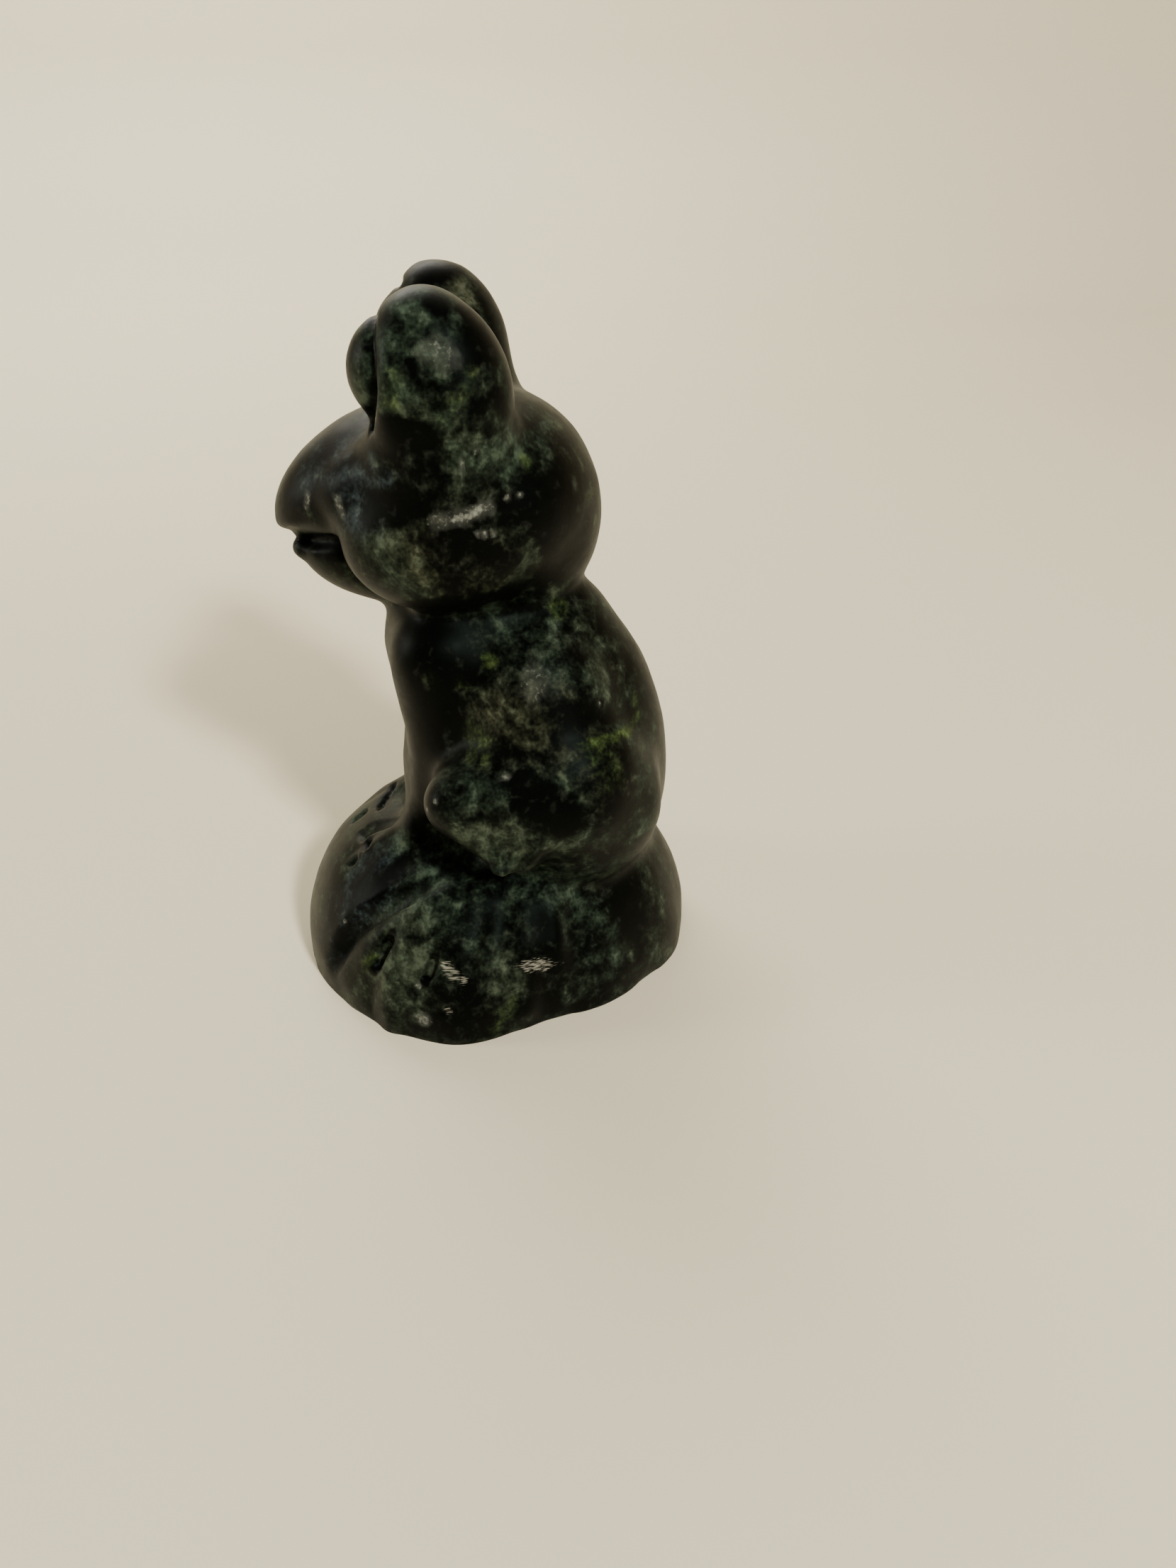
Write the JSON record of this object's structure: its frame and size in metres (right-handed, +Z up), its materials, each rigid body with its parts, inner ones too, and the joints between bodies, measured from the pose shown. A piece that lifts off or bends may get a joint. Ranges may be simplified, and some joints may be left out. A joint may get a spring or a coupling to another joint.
{
  "type": "jade frog carving",
  "caption": "Seated frog on a low boulder, carved from a single block of dark mottled green stone, with tall eye hoods, a slot mouth and long toes spread down the rock.",
  "frame": {"origin": "centre of the bounding box on the flat underside, at the surface it stands on", "axes": "+Z up, the frog looks along -Y, and its left side is at +X"},
  "size_m": [0.0718, 0.0742, 0.1217],
  "materials": {
    "polished_stone": "polished dark green jade or serpentine with grey-green mottling, waxed, satin gloss"
  },
  "bodies": {
    "root": {"frog_carving": "polished_stone"}
  },
  "joints": []
}
